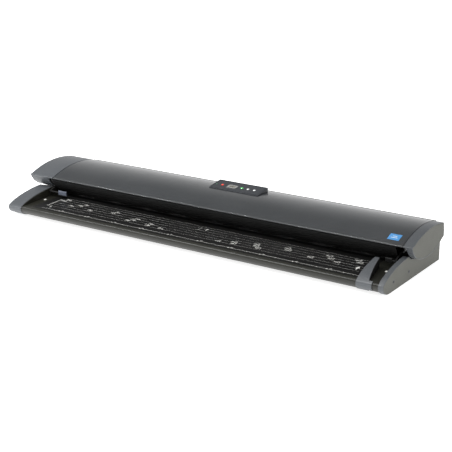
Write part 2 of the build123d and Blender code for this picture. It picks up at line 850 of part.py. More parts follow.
with BuildPart() as lid_underside:
    with BuildSketch(side_plane(under_left)):
        add(underside_profile())
    extrude(amount=under_right - under_left)
    with BuildSketch(Plane.XY.offset(under_z - 3)):
        with Locations((paper_x, scan_y)):
            Rectangle(scan_width + 2 * glass_margin + 0.2, glass_depth + 0.2)
        for start in sleeve_starts(pinch_sleeve_length):
            for roller_y in (feed_y, exit_y):
                with Locations((start + pinch_sleeve_length / 2, roller_y)):
                    Rectangle(pinch_sleeve_length + 2, 2 * pinch_radius + 1.6)
    extrude(amount=9, mode=Mode.SUBTRACT)
save(lid_underside.part, "lid_underside")

glass_low = under_z + 0.2
with BuildPart() as scan_glass:
    with BuildSketch(Plane.XY.offset(glass_low)):
        with Locations((paper_x, scan_y)):
            Rectangle(scan_width + 2 * glass_margin, glass_depth)
    extrude(amount=glass_thickness)
save(scan_glass.part, "scan_glass")

with BuildPart() as glass_retainers:
    for side in (-1, 1):
        clip_x = paper_x + side * (scan_width / 2 + glass_margin + 3)
        with BuildSketch(Plane.XY.offset(glass_low + glass_thickness)):
            with Locations((clip_x - side * 3, scan_y)):
                Rectangle(12, glass_depth - 8)
        extrude(amount=1.2)
        with BuildSketch(Plane.XY.offset(under_z + under_wall)):
            with Locations((clip_x + side * 0.7, scan_y)):
                Rectangle(5, glass_depth - 8)
        extrude(amount=glass_low + glass_thickness - under_z - under_wall + 1.2)
save(glass_retainers.part, "glass_retainers")

# ---------------------------------------------------------------- lid: covers
with BuildPart() as lid_cover:
    with BuildSketch(side_plane(cover_left)):
        add(outer_lid)
        add(inner_lid, mode=Mode.SUBTRACT)
        add(upper_zone, mode=Mode.INTERSECT)
        Polygon(
            (lid_back - 8, height - 7.6),
            (lid_back + 12, height - 11.4),
            (lid_back + 12, height - 13.9),
            (lid_back - 8, height - 10.1),
            align=None,
        )
    extrude(amount=cover_right - cover_left)
    for groove_x in (cover_left - 1, cover_right - cover_groove):
        with BuildSketch(side_plane(groove_x)):
            Rectangle(4 * depth, 4 * height)
            add(lid_profile(cover_groove_depth), mode=Mode.SUBTRACT)
        extrude(amount=cover_groove + 1, mode=Mode.SUBTRACT)
save(lid_cover.part, "lid_cover")


def end_cap(outer_x, inner_x, closed_x, apron_x):
    """Moulded end of the lid, hollow inside.

    Its underside is closed as far in as closed_x, and ahead of the side frames as far as apron_x.
    """
    inward = 1 if inner_x > outer_x else -1
    with BuildPart() as cap:
        with BuildSketch(side_plane(outer_x)):
            add(outer_lid)
        extrude(amount=inner_x - outer_x)
        with BuildSketch(side_plane(outer_x + inward * (wall + face_recess))):
            add(inner_lid)
        extrude(amount=inner_x - outer_x, mode=Mode.SUBTRACT)
        with BuildSketch(side_plane(apron_x)):
            Rectangle(4 * depth, 4 * height)
            add(upper_zone, mode=Mode.SUBTRACT)
        extrude(amount=2 * (inner_x - apron_x), mode=Mode.SUBTRACT)
        with BuildSketch(side_plane(closed_x)):
            with Locations((lid_front + apron_depth, -height)):
                Rectangle(depth, 4 * height, align=(Align.MIN, Align.MIN))
            add(upper_zone, mode=Mode.SUBTRACT)
        extrude(amount=1.5 * (inner_x - closed_x), mode=Mode.SUBTRACT)
        with BuildSketch(side_plane(outer_x)):
            add(lid_profile(end_rim))
        extrude(amount=inward * face_recess, mode=Mode.SUBTRACT)
    return cap.part


left_closed = lid_left + left_flange
right_closed = base_right + 2 * gap
left_apron = beam_left - apron_clearance
save(end_cap(lid_left, cover_left - seam, left_closed, left_apron), "left_lid_cap")
save(end_cap(lid_right, cover_right + seam, right_closed, right_closed), "right_lid_cap")

with BuildPart() as end_plates:
    for face_x in (lid_left, lid_right - face_recess):
        with BuildSketch(side_plane(face_x)):
            add(lid_profile(end_rim + seam))
        extrude(amount=face_recess)
save(end_plates.part, "end_plates")

with BuildPart() as label:
    with BuildSketch(side_plane(cover_right - label_inset)):
        add(lid_profile(-0.3))
        add(outer_lid, mode=Mode.SUBTRACT)
        with Locations((lid_front + label_back, height)):
            Rectangle(label_width, height / 2, mode=Mode.INTERSECT)
    extrude(amount=label_length)
save(label.part, "blank_label")

# ---------------------------------------------------------------- lid: latches
tab_y = lid_front + tab_inset
tab_low = deck_height(tab_y) + tab_lift


def latch_lever(x0, bar_start, bar_end):
    """Hook under the striker, pivot boss, and an arm with a crossbar to the finger tab."""
    pivot_y, pivot_z = latch_pivot
    hook_front = striker_y - 8
    with BuildPart() as lever:
        with BuildSketch(side_plane(x0)):
            Polygon(
                (hook_front, striker_z - 6.5),
                (striker_y + 4, striker_z - 6.5),
                (striker_y + 4, striker_z - 2.6),
                (striker_y - 2.6, striker_z - 2.6),
                (striker_y - 2.6, striker_z + 12),
                (pivot_y + 2, pivot_z + 6),
                (pivot_y - 6, pivot_z + 5),
                (tab_y - 3, tab_low + tab_height / 2 + 3),
                (tab_y - 3, tab_low + tab_height / 2 - 3),
                (tab_y + 6, tab_low + tab_height / 2 - 3),
                (pivot_y, pivot_z - 7),
                (hook_front, striker_z + 5),
                align=None,
            )
            with Locations((pivot_y, pivot_z)):
                Circle(7)
                Circle(latch_stud_radius + slack, mode=Mode.SUBTRACT)
        extrude(amount=latch_thickness)
        add(ring(bar_start, bar_end, tab_y, tab_low + tab_height / 2, 2.5))
    return lever.part


def finger_tab(x0, x1):
    """Rounded pad on the lever's crossbar."""
    with BuildPart() as pad:
        with BuildSketch(side_plane(x0)):
            with Locations((tab_y, tab_low + tab_height / 2)):
                RectangleRounded(tab_thickness, tab_height, 2.8)
        extrude(amount=x1 - x0)
    return pad.part


left_latch_x = beam_left + gap
right_latch_x = beam_right - gap - latch_thickness
left_tab = (deck_left + 42.0, deck_left + 73.0)
right_tab = (right_latch_x - 26.0, right_latch_x - 8.0)
save(latch_lever(left_latch_x, left_latch_x + latch_thickness, left_tab[0]), "left_latch")
save(finger_tab(*left_tab), "left_latch_tab")
with BuildPart() as right_latch:
    add(latch_lever(right_latch_x, right_tab[1], right_latch_x))
    add(finger_tab(*right_tab))
save(right_latch.part, "right_latch")

# ---------------------------------------------------------------- lid: control panel
panel_front = back - panel_front_inset
panel_back = panel_front + panel_depth
panel_slope = Vector(0, panel_depth, panel_back_rise - panel_front_rise)
panel_top = Plane(
    origin=(panel_left, panel_front, height + panel_front_rise),
    x_dir=(1, 0, 0),
    z_dir=Vector(1, 0, 0).cross(panel_slope),
)
panel_length = panel_slope.length


def panel_plane(depth_below):
    """The panel's sloping plane, lowered into the housing."""
    return panel_top.offset(-depth_below)


with BuildPart() as panel_housing:
    with BuildSketch(side_plane(panel_left)):
        Polygon(
            (panel_front, height - 9),
            (panel_back, height - 9),
            (panel_back, height + panel_back_rise),
            (panel_front, height + panel_front_rise),
            align=None,
        )
    extrude(amount=panel_width)
    upright_edges = panel_housing.edges().filter_by(Axis.Z)
    fillet(upright_edges, radius=5)
    top_rim = panel_housing.faces().sort_by(Axis.Z)[-1].edges()
    fillet(top_rim, radius=1.0)
    with BuildSketch(side_plane(panel_left - 1)):
        add(outer_lid)
    extrude(amount=panel_width + 2, mode=Mode.SUBTRACT)
    with BuildSketch(panel_plane(fascia_depth)):
        with Locations((panel_width / 2, panel_length / 2)):
            RectangleRounded(panel_width - 2 * fascia_border, panel_length - 2 * fascia_border, 3.5)
    extrude(amount=2 * fascia_depth, mode=Mode.SUBTRACT)
    with BuildSketch(panel_plane(keypad_depth + 1.6)):
        with Locations((panel_width / 2, row_v + 10)):
            Rectangle(panel_width - 16, 32)
    extrude(amount=keypad_depth + 1.6 - fascia_depth - 1.2, mode=Mode.SUBTRACT)
    with BuildSketch(panel_plane(keypad_depth)):
        for button_u, button_radius in buttons.values():
            with Locations((button_u, row_v)):
                Circle(button_radius + gap)
        with Locations((status_light_u, row_v)):
            Circle(status_light_radius)
    extrude(amount=keypad_depth, mode=Mode.SUBTRACT)
save(panel_housing.part, "panel_housing")

with BuildPart() as panel_fascia:
    with BuildSketch(panel_plane(fascia_depth)):
        with Locations((panel_width / 2, panel_length / 2)):
            RectangleRounded(
                panel_width - 2 * fascia_border - 0.2, panel_length - 2 * fascia_border - 0.2, 3.4
            )
        for button_u, button_radius in buttons.values():
            with Locations((button_u, row_v)):
                Circle(button_radius + gap, mode=Mode.SUBTRACT)
        with Locations((status_light_u, row_v)):
            Circle(status_light_radius, mode=Mode.SUBTRACT)
        with Locations(display_centre):
            RectangleRounded(display_size[0], display_size[1], 2.5, mode=Mode.SUBTRACT)
    extrude(amount=fascia_depth - 0.2)
save(panel_fascia.part, "panel_fascia")

with BuildPart() as display_window:
    with BuildSketch(panel_plane(fascia_depth)):
        with Locations(display_centre):
            RectangleRounded(display_size[0] - 0.1, display_size[1] - 0.1, 2.45)
    extrude(amount=fascia_depth - 0.1)
save(display_window.part, "display_window")

with BuildPart() as keypad_board:
    with BuildSketch(panel_plane(keypad_depth + 1.4)):
        with Locations((panel_width / 2, row_v + 10)):
            Rectangle(panel_width - 17, 30)
    extrude(amount=1.2)
    with BuildSketch(side_plane(panel_left - 1)):
        add(outer_lid)
    extrude(amount=panel_width + 2, mode=Mode.SUBTRACT)
save(keypad_board.part, "keypad_board")

with BuildPart() as status_light:
    with BuildSketch(panel_plane(keypad_depth)):
        with Locations((status_light_u, row_v)):
            Circle(status_light_radius - 0.05)
    extrude(amount=keypad_depth + 0.2)
save(status_light.part, "status_light")

for button_name, (button_u, button_radius) in buttons.items():
    with BuildPart() as button:
        with BuildSketch(panel_plane(keypad_depth - button_travel - 0.3)):
            with Locations((button_u, row_v)):
                Circle(button_radius)
        extrude(amount=keypad_depth - button_travel - 0.3 + button_proud)
        crown = button.faces().sort_by(Axis.Z)[-1].edges()
        fillet(crown, radius=0.6)
    save(button.part, button_name)


# ---------------------------------------------------------------- edge guide
def guide_edge(inset):
    """Plan view of the guide: straight on the paper's side, swept in on the other."""
    left = guide_left + inset
    neck_y = front + 8.0 + inset
    end_y = front + guide_reach - inset
    with BuildSketch() as sketch:
        with BuildLine():
            Polyline(
                (left, end_y),
                (left, front - 1),
                (guide_left + guide_foot_width - inset, front - 1),
                (guide_left + guide_foot_width - inset, neck_y),
                (guide_left + guide_neck_width - inset, neck_y),
            )
            Spline(
                (guide_left + guide_neck_width - inset, neck_y),
                ((guide_left + guide_neck_width + guide_left + guide_end_width) / 2 - 2 - inset, front + 61),
                (guide_left + guide_end_width - inset, end_y),
            )
            Line((guide_left + guide_end_width - inset, end_y), (left, end_y))
        make_face()
    return sketch.sketch


def guide_side(inset):
    """Side view of the guide: the cheek's ramp, over the deck and round its nose."""
    with BuildSketch() as sketch:
        add(cheek_profile(right_ramp_top, inset))
        add(deck_outline(-gap - insert_thickness), mode=Mode.SUBTRACT)
        Polygon(
            (front - 5, 0),
            (back, 0),
            (back, deck_top + 3),
            (tray_front, deck_top + 3),
            (front + nose_depth, foot_height + 7),
            (front - 5, foot_height + 7),
            align=None,
            mode=Mode.SUBTRACT,
        )
    return sketch.sketch


with BuildPart() as guide_hollow:
    with BuildSketch(side_plane(guide_left)):
        add(guide_side(wall))
    extrude(amount=guide_foot_width)
    with BuildSketch(Plane.XY):
        add(guide_edge(wall))
    extrude(amount=height, mode=Mode.INTERSECT)

with BuildPart() as edge_guide:
    with BuildSketch(side_plane(guide_left)):
        add(guide_side(0.0))
    extrude(amount=guide_foot_width)
    with BuildSketch(Plane.XY):
        add(guide_edge(0.0))
    extrude(amount=height, mode=Mode.INTERSECT)
    add(guide_hollow.part, mode=Mode.SUBTRACT)
save(edge_guide.part, "edge_guide")
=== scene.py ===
import json
import math

import bmesh
import bpy
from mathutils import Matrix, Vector

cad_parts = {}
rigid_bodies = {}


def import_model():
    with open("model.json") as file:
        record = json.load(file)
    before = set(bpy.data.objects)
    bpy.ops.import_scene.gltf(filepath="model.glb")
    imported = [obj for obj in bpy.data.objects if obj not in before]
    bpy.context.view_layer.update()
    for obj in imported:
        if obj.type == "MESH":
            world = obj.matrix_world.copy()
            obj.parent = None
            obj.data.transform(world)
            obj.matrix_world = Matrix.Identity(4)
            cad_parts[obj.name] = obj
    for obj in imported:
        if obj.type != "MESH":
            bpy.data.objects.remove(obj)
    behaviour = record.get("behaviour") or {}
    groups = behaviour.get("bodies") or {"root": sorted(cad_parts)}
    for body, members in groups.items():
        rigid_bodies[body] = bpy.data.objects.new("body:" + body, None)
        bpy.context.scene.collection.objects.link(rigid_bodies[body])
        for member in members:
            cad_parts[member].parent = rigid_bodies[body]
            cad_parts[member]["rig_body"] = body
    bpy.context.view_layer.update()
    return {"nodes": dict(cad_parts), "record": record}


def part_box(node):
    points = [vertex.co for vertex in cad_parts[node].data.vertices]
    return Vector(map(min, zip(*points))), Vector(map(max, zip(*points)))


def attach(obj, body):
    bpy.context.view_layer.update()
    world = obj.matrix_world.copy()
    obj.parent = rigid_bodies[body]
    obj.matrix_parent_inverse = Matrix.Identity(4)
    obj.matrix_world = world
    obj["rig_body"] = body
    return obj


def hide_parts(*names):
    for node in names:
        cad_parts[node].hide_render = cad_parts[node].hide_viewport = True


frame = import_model()
nodes = frame["nodes"]
node_slot = {part["node"]: part["material_slot"] for part in frame["record"]["subparts"]}
mm = 0.001


# ---------------------------------------------------------------- shader groups


def shader_group(name, inputs, outputs):
    """An empty node group with its named sockets, its first input value being the default."""
    group = bpy.data.node_groups.new(name, "ShaderNodeTree")
    for label, kind, value in inputs:
        socket = group.interface.new_socket(label, in_out="INPUT", socket_type=kind)
        socket.default_value = value
    for label, kind in outputs:
        group.interface.new_socket(label, in_out="OUTPUT", socket_type=kind)
    return group, group.nodes.new("NodeGroupInput"), group.nodes.new("NodeGroupOutput")


def wire(tree, source, target):
    tree.links.new(source, target)


def noise_on_object(tree, scale, detail=3.0, roughness=0.55):
    """A noise read in object coordinates, so it stays with its piece."""
    place = tree.nodes.new("ShaderNodeTexCoord")
    noise = tree.nodes.new("ShaderNodeTexNoise")
    noise.inputs["Scale"].default_value = scale
    noise.inputs["Detail"].default_value = detail
    noise.inputs["Roughness"].default_value = roughness
    wire(tree, place.outputs["Object"], noise.inputs["Vector"])
    return noise


def ramp(tree, source, low, high, out_low=0.0, out_high=1.0):
    """Stretches a value between two bounds."""
    stretch = tree.nodes.new("ShaderNodeMapRange")
    stretch.inputs["From Min"].default_value = low
    stretch.inputs["From Max"].default_value = high
    stretch.inputs["To Min"].default_value = out_low
    stretch.inputs["To Max"].default_value = out_high
    wire(tree, source, stretch.inputs["Value"])
    return stretch.outputs["Result"]


def calculate(tree, operation, first, second):
    step = tree.nodes.new("ShaderNodeMath")
    step.operation = operation
    for socket, value in zip(step.inputs, (first, second)):
        if isinstance(value, (int, float)):
            socket.default_value = value
        else:
            wire(tree, value, socket)
    return step.outputs[0]


def blend_colours(tree, share, first, second):
    mix = tree.nodes.new("ShaderNodeMix")
    mix.data_type = "RGBA"
    for socket, value in ((mix.inputs[0], share), (mix.inputs[6], first), (mix.inputs[7], second)):
        if isinstance(value, bpy.types.NodeSocket):
            wire(tree, value, socket)
        else:
            socket.default_value = value
    return mix.outputs[2]


def make_moulding_grain():
    """Spark-eroded texture of a moulded panel: fine pebbles with finer noise on them."""
    group, entry, leave = shader_group(
        "moulding_grain",
        [("Pebbles per metre", "NodeSocketFloat", 900.0)],
        [("Height", "NodeSocketFloat")],
    )
    place = group.nodes.new("ShaderNodeTexCoord")
    pebbles = group.nodes.new("ShaderNodeTexVoronoi")
    pebbles.feature = "SMOOTH_F1"
    pebbles.inputs["Smoothness"].default_value = 0.6
    wire(group, place.outputs["Object"], pebbles.inputs["Vector"])
    wire(group, entry.outputs[0], pebbles.inputs["Scale"])
    fine = group.nodes.new("ShaderNodeTexNoise")
    fine.inputs["Detail"].default_value = 2.0
    wire(group, place.outputs["Object"], fine.inputs["Vector"])
    wire(group, calculate(group, "MULTIPLY", entry.outputs[0], 2.3), fine.inputs["Scale"])
    height = calculate(
        group,
        "ADD",
        calculate(group, "MULTIPLY", pebbles.outputs["Distance"], 0.65),
        calculate(group, "MULTIPLY", fine.outputs["Fac"], 0.35),
    )
    wire(group, height, leave.inputs["Height"])
    return group


def make_tone_drift():
    """Slow drift of a moulding's tone, with a fine mottle on it."""
    group, entry, leave = shader_group(
        "tone_drift",
        [
            ("Darker", "NodeSocketColor", (0.1, 0.1, 0.1, 1.0)),
            ("Lighter", "NodeSocketColor", (0.2, 0.2, 0.2, 1.0)),
            ("Patches per metre", "NodeSocketFloat", 9.0),
        ],
        [("Color", "NodeSocketColor"), ("Drift", "NodeSocketFloat")],
    )
    place = group.nodes.new("ShaderNodeTexCoord")
    slow = group.nodes.new("ShaderNodeTexNoise")
    slow.inputs["Detail"].default_value = 4.0
    wire(group, place.outputs["Object"], slow.inputs["Vector"])
    wire(group, entry.outputs["Patches per metre"], slow.inputs["Scale"])
    mottle = noise_on_object(group, 420.0, 2.0)
    drift = calculate(
        group,
        "ADD",
        ramp(group, slow.outputs["Fac"], 0.3, 0.7, 0.0, 0.7),
        ramp(group, mottle.outputs["Fac"], 0.3, 0.7, 0.0, 0.3),
    )
    wire(
        group,
        blend_colours(group, drift, entry.outputs["Darker"], entry.outputs["Lighter"]),
        leave.inputs["Color"],
    )
    wire(group, drift, leave.inputs["Drift"])
    return group


def make_hand_marks():
    """Faint smears and short hairline scuffs that hands and paper leave."""
    group, entry, leave = shader_group(
        "hand_marks",
        [("Strength", "NodeSocketFloat", 0.5)],
        [("Mask", "NodeSocketFloat")],
    )
    smear = noise_on_object(group, 22.0, 5.0, 0.6)
    broad = ramp(group, smear.outputs["Fac"], 0.5, 0.72)
    place = group.nodes.new("ShaderNodeTexCoord")
    along = group.nodes.new("ShaderNodeMapping")
    along.inputs["Scale"].default_value = (14.0, 420.0, 420.0)
    along.inputs["Rotation"].default_value = (0.0, 0.0, 0.35)
    wire(group, place.outputs["Object"], along.inputs["Vector"])
    scuff = group.nodes.new("ShaderNodeTexNoise")
    scuff.inputs["Scale"].default_value = 1.0
    scuff.inputs["Detail"].default_value = 1.0
    wire(group, along.outputs["Vector"], scuff.inputs["Vector"])
    hairlines = ramp(group, scuff.outputs["Fac"], 0.66, 0.74)
    both = calculate(group, "MAXIMUM", broad, calculate(group, "MULTIPLY", hairlines, 0.6))
    wire(group, calculate(group, "MULTIPLY", both, entry.outputs[0]), leave.inputs["Mask"])
    return group


def make_settled_dust():
    """Dust on faces that look up, thinner where it has been wiped."""
    group, entry, leave = shader_group(
        "settled_dust",
        [("Amount", "NodeSocketFloat", 0.2)],
        [("Mask", "NodeSocketFloat")],
    )
    surface = group.nodes.new("ShaderNodeNewGeometry")
    split = group.nodes.new("ShaderNodeSeparateXYZ")
    wire(group, surface.outputs["Normal"], split.inputs[0])
    upward = ramp(group, split.outputs["Z"], 0.35, 1.0)
    specks = noise_on_object(group, 700.0, 2.0)
    film = noise_on_object(group, 6.0, 4.0)
    patchy = calculate(
        group,
        "MULTIPLY",
        ramp(group, specks.outputs["Fac"], 0.45, 0.75, 0.25, 1.0),
        ramp(group, film.outputs["Fac"], 0.35, 0.7, 0.2, 1.0),
    )
    laid = calculate(group, "MULTIPLY", upward, patchy)
    wire(group, calculate(group, "MULTIPLY", laid, entry.outputs[0]), leave.inputs["Mask"])
    return group


def make_edge_wear_and_highlight():
    """Lightens a moulding's corners where the rounded normal turns away from the flat one: partly rubbed
    wear in patches, partly a painted edge highlight.
    """
    group, entry, leave = shader_group(
        "edge_wear_and_highlight",
        [("Reach", "NodeSocketFloat", 0.0015), ("Strength", "NodeSocketFloat", 0.5)],
        [("Mask", "NodeSocketFloat")],
    )
    rounded = group.nodes.new("ShaderNodeBevel")
    rounded.samples = 4
    wire(group, entry.outputs["Reach"], rounded.inputs["Radius"])
    surface = group.nodes.new("ShaderNodeNewGeometry")
    turn = group.nodes.new("ShaderNodeVectorMath")
    turn.operation = "DOT_PRODUCT"
    wire(group, rounded.outputs["Normal"], turn.inputs[0])
    wire(group, surface.outputs["Normal"], turn.inputs[1])
    corner = ramp(group, turn.outputs["Value"], 0.985, 0.8)
    patch_noise = noise_on_object(group, 60.0, 4.0)
    patchy = ramp(group, patch_noise.outputs["Fac"], 0.35, 0.65, 0.35, 1.0)
    worn_and_highlit = calculate(group, "MULTIPLY", corner, patchy)
    wire(group, calculate(group, "MULTIPLY", worn_and_highlit, entry.outputs["Strength"]), leave.inputs["Mask"])
    return group


moulding_grain = make_moulding_grain()
tone_drift = make_tone_drift()
hand_marks = make_hand_marks()
settled_dust = make_settled_dust()
edge_wear_and_highlight = make_edge_wear_and_highlight()


# ---------------------------------------------------------------- finishes


def use_group(tree, group, **values):
    node = tree.nodes.new("ShaderNodeGroup")
    node.node_tree = group
    for label, value in values.items():
        node.inputs[label.replace("_", " ")].default_value = value
    return node


def new_finish(name):
    finish = bpy.data.materials.new(name)
    finish.use_nodes = True
    shader = finish.node_tree.nodes["Principled BSDF"]
    return finish, finish.node_tree, shader


def grey(value):
    return (value, value, value, 1.0)


def moulded_plastic(
    name,
    darker,
    lighter,
    roughness,
    pebbles=900.0,
    depth=0.25,
    wear_and_highlight=0.3,
    dust=0.12,
    marks=0.4,
    coat=0.0,
    coat_roughness=0.12,
    specular=0.5,
):
    """A moulded part: drifting tone, pebbled grain, corners lightened by rubbed wear and by a painted edge
    highlight, dust and hand marks.
    """
    finish, tree, shader = new_finish(name)
    tone = use_group(tree, tone_drift, Darker=(*darker, 1.0), Lighter=(*lighter, 1.0))
    corners = use_group(tree, edge_wear_and_highlight, Strength=wear_and_highlight)
    film = use_group(tree, settled_dust, Amount=dust)
    smears = use_group(tree, hand_marks, Strength=marks)
    # Lighter colour on the corners: partly rubbed wear, partly a painted edge highlight.
    rubbed_and_highlit_colour = tuple(min(1.0, 2.1 * part + 0.05) for part in lighter)
    worn_and_highlit = blend_colours(tree, corners.outputs["Mask"], tone.outputs["Color"], (*rubbed_and_highlit_colour, 1.0))
    dusty = blend_colours(tree, film.outputs["Mask"], worn_and_highlit, (0.42, 0.41, 0.39, 1.0))
    wire(tree, dusty, shader.inputs["Base Color"])
    matt = calculate(
        tree,
        "ADD",
        ramp(tree, tone.outputs["Drift"], 0.0, 1.0, roughness - 0.03, roughness + 0.03),
        calculate(tree, "MULTIPLY", smears.outputs["Mask"], 0.12),
    )
    rough = calculate(tree, "ADD", matt, calculate(tree, "MULTIPLY", film.outputs["Mask"], 0.5))
    wire(tree, rough, shader.inputs["Roughness"])
    grain = use_group(tree, moulding_grain, Pebbles_per_metre=pebbles)
    bump = tree.nodes.new("ShaderNodeBump")
    bump.inputs["Strength"].default_value = depth
    bump.inputs["Distance"].default_value = 0.0003
    wire(tree, grain.outputs["Height"], bump.inputs["Height"])
    wire(tree, bump.outputs["Normal"], shader.inputs["Normal"])
    shader.inputs["Coat Weight"].default_value = coat
    shader.inputs["Coat Roughness"].default_value = coat_roughness
    shader.inputs["Specular IOR Level"].default_value = specular
    return finish


def drawn_metal(name, darker, lighter, roughness, metallic=1.0, stretch=(3.0, 900.0, 900.0), depth=0.12):
    """Metal with the fine lines of rolling, drawing or grinding, and a few dull patches."""
    finish, tree, shader = new_finish(name)
    place = tree.nodes.new("ShaderNodeTexCoord")
    along = tree.nodes.new("ShaderNodeMapping")
    along.inputs["Scale"].default_value = stretch
    wire(tree, place.outputs["Object"], along.inputs["Vector"])
    lines = tree.nodes.new("ShaderNodeTexNoise")
    lines.inputs["Scale"].default_value = 1.0
    lines.inputs["Detail"].default_value = 3.0
    wire(tree, along.outputs["Vector"], lines.inputs["Vector"])
    tone = use_group(tree, tone_drift, Darker=(*darker, 1.0), Lighter=(*lighter, 1.0))
    corners = use_group(tree, edge_wear_and_highlight, Strength=0.35)
    streaked = blend_colours(
        tree,
        ramp(tree, lines.outputs["Fac"], 0.3, 0.7, 0.0, 0.35),
        tone.outputs["Color"],
        (*darker, 1.0),
    )
    # Brighter colour on the corners: partly rubbed wear, partly a painted edge highlight.
    bright = tuple(min(1.0, 1.3 * part + 0.03) for part in lighter)
    worn_and_highlit = blend_colours(tree, corners.outputs["Mask"], streaked, (*bright, 1.0))
    wire(tree, worn_and_highlit, shader.inputs["Base Color"])
    smears = use_group(tree, hand_marks, Strength=0.6)
    rough = calculate(
        tree,
        "ADD",
        ramp(tree, lines.outputs["Fac"], 0.3, 0.7, roughness - 0.06, roughness + 0.06),
        calculate(tree, "MULTIPLY", smears.outputs["Mask"], 0.18),
    )
    wire(tree, rough, shader.inputs["Roughness"])
    bump = tree.nodes.new("ShaderNodeBump")
    bump.inputs["Strength"].default_value = depth
    bump.inputs["Distance"].default_value = 0.0002
    wire(tree, lines.outputs["Fac"], bump.inputs["Height"])
    wire(tree, bump.outputs["Normal"], shader.inputs["Normal"])
    shader.inputs["Metallic"].default_value = metallic
    return finish


def rubber(name, darker, lighter, roughness, dust):
    """Ground or moulded rubber: fine tooth, chalky bloom, paper dust on the crown."""
    finish, tree, shader = new_finish(name)
    tone = use_group(tree, tone_drift, Darker=(*darker, 1.0), Lighter=(*lighter, 1.0))
    bloom = noise_on_object(tree, 55.0, 5.0)
    chalk = ramp(tree, bloom.outputs["Fac"], 0.5, 0.75, 0.0, dust)
    wire(
        tree,
        blend_colours(tree, chalk, tone.outputs["Color"], (0.34, 0.33, 0.31, 1.0)),
        shader.inputs["Base Color"],
    )
    wire(
        tree,
        ramp(tree, bloom.outputs["Fac"], 0.3, 0.7, roughness - 0.06, roughness + 0.06),
        shader.inputs["Roughness"],
    )
    grain = use_group(tree, moulding_grain, Pebbles_per_metre=2200.0)
    bump = tree.nodes.new("ShaderNodeBump")
    bump.inputs["Strength"].default_value = 0.4
    bump.inputs["Distance"].default_value = 0.0002
    wire(tree, grain.outputs["Height"], bump.inputs["Height"])
    wire(tree, bump.outputs["Normal"], shader.inputs["Normal"])
    shader.inputs["Specular IOR Level"].default_value = 0.3
    return finish


def clear_part(name, colour, roughness):
    """Clear glass or lens strip with wipe streaks and a faint paper-dust film."""
    finish, tree, shader = new_finish(name)
    smears = use_group(tree, hand_marks, Strength=0.7)
    film = noise_on_object(tree, 30.0, 4.0)
    veil = ramp(tree, film.outputs["Fac"], 0.35, 0.75, 0.0, 0.25)
    tint = blend_colours(tree, veil, (*colour, 1.0), (0.8, 0.83, 0.82, 1.0))
    wire(tree, tint, shader.inputs["Base Color"])
    rough = calculate(
        tree, "ADD", calculate(tree, "MULTIPLY", smears.outputs["Mask"], 0.12), roughness
    )
    wire(tree, rough, shader.inputs["Roughness"])
    shader.inputs["IOR"].default_value = 1.5
    shader.inputs["Transmission Weight"].default_value = 0.9
    return finish


def circuit_board(name):
    """Green solder mask over etched tracks, with plated rings."""
    finish, tree, shader = new_finish(name)
    place = tree.nodes.new("ShaderNodeTexCoord")
    tracks = tree.nodes.new("ShaderNodeTexBrick")
    tracks.inputs["Scale"].default_value = 90.0
    tracks.inputs["Mortar Size"].default_value = 0.06
    tracks.offset = 0.37
    tracks.squash = 0.6
    tracks.squash_frequency = 3
    tracks.inputs["Color1"].default_value = (0.012, 0.11, 0.045, 1.0)
    tracks.inputs["Color2"].default_value = (0.02, 0.16, 0.07, 1.0)
    tracks.inputs["Mortar"].default_value = (0.05, 0.3, 0.13, 1.0)
    wire(tree, place.outputs["Object"], tracks.inputs["Vector"])
    rings = tree.nodes.new("ShaderNodeTexVoronoi")
    rings.inputs["Scale"].default_value = 160.0
    wire(tree, place.outputs["Object"], rings.inputs["Vector"])
    plated = ramp(tree, rings.outputs["Distance"], 0.2, 0.14)
    wire(
        tree,
        blend_colours(tree, plated, tracks.outputs["Color"], (0.72, 0.58, 0.3, 1.0)),
        shader.inputs["Base Color"],
    )
    wire(tree, ramp(tree, plated, 0.0, 1.0, 0.38, 0.25), shader.inputs["Roughness"])
    wire(tree, calculate(tree, "MULTIPLY", plated, 0.9), shader.inputs["Metallic"])
    bump = tree.nodes.new("ShaderNodeBump")
    bump.inputs["Strength"].default_value = 0.3
    bump.inputs["Distance"].default_value = 0.0001
    wire(tree, tracks.outputs["Fac"], bump.inputs["Height"])
    wire(tree, bump.outputs["Normal"], shader.inputs["Normal"])
    return finish


def lit_segment(name, darker, lighter, glow):
    """A coloured cap, light pipe, window or ink with a soft glow of its own colour that varies over it: a
    lamp's glow in the status light pipe, a painted glow everywhere else.
    """
    finish, tree, shader = new_finish(name)
    inner = noise_on_object(tree, 260.0, 3.0)
    share = ramp(tree, inner.outputs["Fac"], 0.35, 0.7)
    cloud = blend_colours(tree, share, (*darker, 1.0), (*lighter, 1.0))
    wire(tree, cloud, shader.inputs["Base Color"])
    wire(tree, cloud, shader.inputs["Emission Color"])
    shader.inputs["Emission Strength"].default_value = glow
    wire(tree, ramp(tree, share, 0.0, 1.0, 0.24, 0.36), shader.inputs["Roughness"])
    grain = use_group(tree, moulding_grain, Pebbles_per_metre=3500.0)
    bump = tree.nodes.new("ShaderNodeBump")
    bump.inputs["Strength"].default_value = 0.1
    bump.inputs["Distance"].default_value = 0.0001
    wire(tree, grain.outputs["Height"], bump.inputs["Height"])
    wire(tree, bump.outputs["Normal"], shader.inputs["Normal"])
    shader.inputs["Coat Weight"].default_value = 0.3
    return finish


